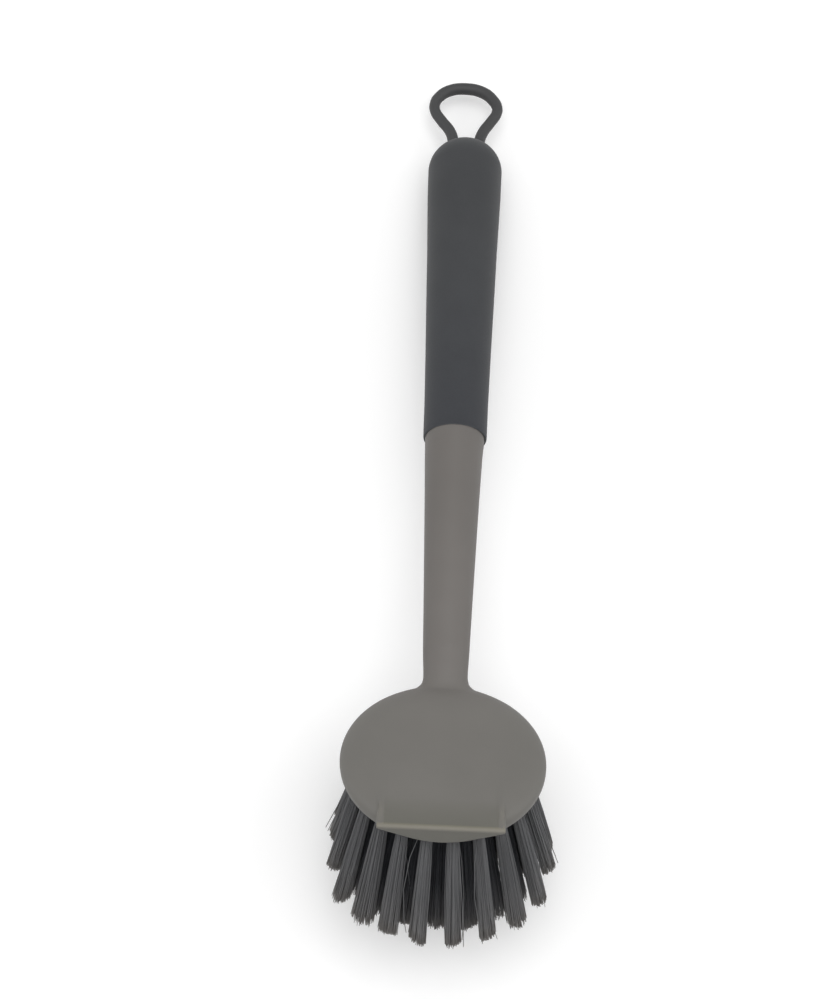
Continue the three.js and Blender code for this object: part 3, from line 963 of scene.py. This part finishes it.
# Cut tips: paler and warmer as cut ends are, plus painted light where little light reaches them
NYLON_TIP = (1.62, 1.5, 1.37, 1)
NYLON_GLOSS = {"To Min": 0.62, "To Max": 0.8}
NYLON_WEAR = {"Scale": 900}

nylon, tree, shader = new_finish("dark_nylon")
link = tree.links.new
own_tone = add_node(tree, "Attribute", attribute_name="hair_tone")
tones = add_node(tree, "ValToRGB")
tones.color_ramp.elements[0].color = NYLON_DARK
tones.color_ramp.elements[1].color = NYLON_LIGHT
link(own_tone.outputs["Fac"], tones.inputs["Fac"])
link(tones.outputs["Color"], shader.inputs["Base Color"])
place = add_node(tree, "TexCoord")
wear = add_node(tree, "TexNoise", NYLON_WEAR)
link(place.outputs["Object"], wear.inputs["Vector"])
sheen = add_node(tree, "MapRange", NYLON_GLOSS)
link(wear.outputs["Fac"], sheen.inputs["Value"])
link(sheen.outputs["Result"], shader.inputs["Roughness"])
# paler cut tips, with painted light
tint(nylon, "tip", NYLON_TIP)
print("finish", nylon.name)

# %% [markdown]
# Tufts
#
# Tufts from one machine are alike, and yet no two are the same: each leans its own way, splits into a few
# clumps and is cut a little askew. Chance with a fixed seed gives every tuft such habits. The tufts at the
# front are in full view, so their lean and spread are listed, three tufts are cut again, and three hairs
# have sprung out. The rows behind stand in the shade of the outer ring, so their roots carry painted shade
# that makes them almost black.

# %% Say how the tufts stand
BRISTLE_DROP = 36.2
HAIRS = 260
ROOT_RADIUS = 1.45
ROOT_DEPTH = 1.6
TIP_RADIUS = {"outer": 2.15, "middle": 3, "inner": 4.2, "centre": 4.2}
# Tone at the roots and the tips of each row; on the rows behind it is painted shade, darkest at the roots
ROOT_TONE = {"outer": 0.57, "middle": 0.02, "inner": 0.02, "centre": 0.02}
TIP_TONE = {"outer": 0.59, "middle": 0.45, "inner": 0.5, "centre": 0.5}
# For a tuft of the outer ring: its lean to the right and towards the handle, and its spread
OUTER_TUFTS = {
    0: (-0.2, -0.6, 1),
    1: (0.1, -0.9, 1.05),
    2: (0.1, -0.4, 1.33),
    3: (0.7, -0.5, 1.03),
    4: (0.45, 1.4, 1.05),
    5: (-0.4, 0.2, 1.1),
    14: (1.6, 0.8, 1),
    15: (1.6, -1, 1),
    16: (1.45, -1.8, 1.15),
    17: (1.85, -1.2, 1.54),
    18: (1, 0, 1.2),
    19: (-0.2, 0, 1.15),
}
# For a tuft of a row: how much longer it is cut, and how much that grows to the right
RECUT = {("outer", 19): (-0.7, 1.3), ("outer", 3): (0.7, -0.6), ("middle", 0): (-1.4, 0)}
# For a tuft and a hair of the outer ring: how far the hair's tip and its middle stand off
SPRUNG_HAIRS = {
    (14, 0): ((-3.4, 2.4), (0, 0)),
    (14, 1): ((-2.7, 1.7), (0, 0)),
    (18, 0): ((9, 3), (-1, 0)),
}
print("hairs", HAIRS * sum(ring["tufts"] for ring in RINGS))

# %% Give each tuft its habits and each hair its wander
LEAN_SCATTER = 0.25
SPREAD_RANGE = (0.9, 1.15)
CLUMPS = 4
CLUMP_SCATTER = 0.4
TUFT_SCATTER = 0.3
SLANT_SCATTER = 0.6
RECUT_CLUMPS = 0.3
STRAYS = 0.006
STRAY_FACTOR = 7
WANDER_SCATTER = 0.2
SEED = 46

chance = np.random.default_rng(SEED)


def tuft_habits(row, tuft):
    """A tuft's lean and spread, how much longer each of its clumps is cut, and how its cut slants."""
    side, ahead = chance.normal(0, LEAN_SCATTER, 2)
    spread = chance.uniform(*SPREAD_RANGE)
    if row == "outer":
        side, ahead, spread = OUTER_TUFTS.get(tuft, (side, ahead, spread))
    cuts = chance.normal(0, CLUMP_SCATTER, CLUMPS) + chance.normal(0, TUFT_SCATTER)
    slant = chance.normal(0, SLANT_SCATTER, 2)
    if (row, tuft) in RECUT:
        longer, to_the_right = RECUT[row, tuft]
        cuts = cuts * RECUT_CLUMPS + longer
        slant = np.array([to_the_right, 0])
    return np.array([side, ahead, 0]), spread, cuts, slant


def hair_wander(row, tuft, hair):
    """How far a hair's tip and its middle stand off from where the tuft would have them."""
    wildness = STRAY_FACTOR if chance.random() < STRAYS else 1
    stray = np.array([*wildness * chance.normal(0, WANDER_SCATTER, 2), 0])
    bow = np.array([*wildness * chance.normal(0, WANDER_SCATTER, 2), 0])
    if row == "outer" and (tuft, hair) in SPRUNG_HAIRS:
        stray[:2], bow[:2] = SPRUNG_HAIRS[tuft, hair]
    return stray, bow


# %% Grow one tuft
GOLDEN_ANGLE = 2.39996
TURN_SCATTER = 0.3
TRIM_SCATTER = 0.3
FLOOR_GAP = 0.15
TONE_CURVE = 5
TONE_SCATTER = 0.02

floor_up = np.array(bench_to_frame)[2, :3]
floor_at = bench_to_frame[2][3] / MM


def grow_tuft(row, tuft, root, growth, across):
    """All hairs of a tuft: the points of each, and for each point a tone with painted shade on the rows
    behind.
    """
    beside = np.cross(growth, across)
    share = hair_points[:, 2:3]
    thickness = hair_points[:, 0:1] * across + hair_points[:, 1:2] * beside
    lean, spread, cuts, slant = tuft_habits(row, tuft)
    tip_radius = TIP_RADIUS[row] * spread
    points, tones = [], []
    for hair in range(HAIRS):
        reach = math.sqrt((hair + 0.5) / HAIRS)
        turn = hair * GOLDEN_ANGLE + chance.uniform(-TURN_SCATTER, TURN_SCATTER)
        spot = reach * (math.cos(turn) * across + math.sin(turn) * beside)
        clump = int(CLUMPS * turn / (2 * math.pi)) % CLUMPS
        trim = cuts[clump] + slant @ spot[:2] + chance.normal(0, TRIM_SCATTER)
        length = (BRISTLE_DROP + trim) / -growth[2]
        stray, bow = hair_wander(row, tuft, hair)
        start = root + spot * ROOT_RADIUS - growth * ROOT_DEPTH
        tip = root + growth * length + spot * tip_radius + lean + stray
        sunk = FLOOR_GAP - floor_up @ tip - floor_at
        if sunk > 0:
            tip = tip + growth * sunk / (floor_up @ growth)
        sag = bow * (share * (1 - share) * 4)
        points.append(start + (tip - start) * share + sag + FILAMENT_RADIUS * thickness)
        # painted shade on the rows behind, lifting towards the tips
        rise = (TIP_TONE[row] - ROOT_TONE[row]) * share[:, 0] ** TONE_CURVE
        tones.append(ROOT_TONE[row] + rise + chance.normal(0, TONE_SCATTER))
    return points, tones


# %% Grow the rings
TIP_CURVE = 12

# strong at the cut tips, for their paler ends and painted light
tip_mark = hair_points[:, 2] ** TIP_CURVE
for ring in RINGS:
    row = ring["name"].split("_")[0]
    points, tones = [], []
    for tuft, place in enumerate(tuft_places(ring)):
        tuft_points, tuft_tones = grow_tuft(row, tuft, *(np.array(v) for v in place))
        points += tuft_points
        tones += tuft_tones
    firsts = range(0, len(points) * len(hair_points), len(hair_points))
    faces = [[first + corner for corner in face] for first in firsts for face in hair_faces]
    mesh = bpy.data.meshes.new(ring["name"] + "_hairs")
    mesh.from_pydata((np.concatenate(points) * MM).tolist(), [], faces)
    mark(mesh, hair_tone=np.clip(np.concatenate(tones), 0, 1), tip=np.tile(tip_mark, len(points)))
    tufts = bpy.data.objects.new(ring["name"] + "_hairs", mesh)
    bpy.context.collection.objects.link(tufts)
    face_outwards(tufts)
    pick_only(tufts)
    bpy.ops.object.shade_smooth()
    settle(tufts, nylon, "bristle_nylon", ring["name"])

# %% [markdown]
# Wire anchors
#
# The anchors are inside the head and their CAD shape is right, so they stay and only get a finish: brass
# wire, bright from the die, with a fine grain and a little tarnish.

# %% Finish the anchors
brass = moulded_finish(
    "drawn_brass_wire",
    dark=(0.42, 0.31, 0.12),
    light=(0.56, 0.43, 0.18),
    drift=700,
    grain=5000,
    gloss=(0.22, 0.42),
    bump=0.00001,
)
brass.node_tree.nodes["Principled BSDF"].inputs["Metallic"].default_value = 1
anchors = [node for name, node in frame["nodes"].items() if "anchor" in name]
for anchor in anchors:
    anchor.data.materials.clear()
    anchor.data.materials.append(brass)
print("anchors", len(anchors))
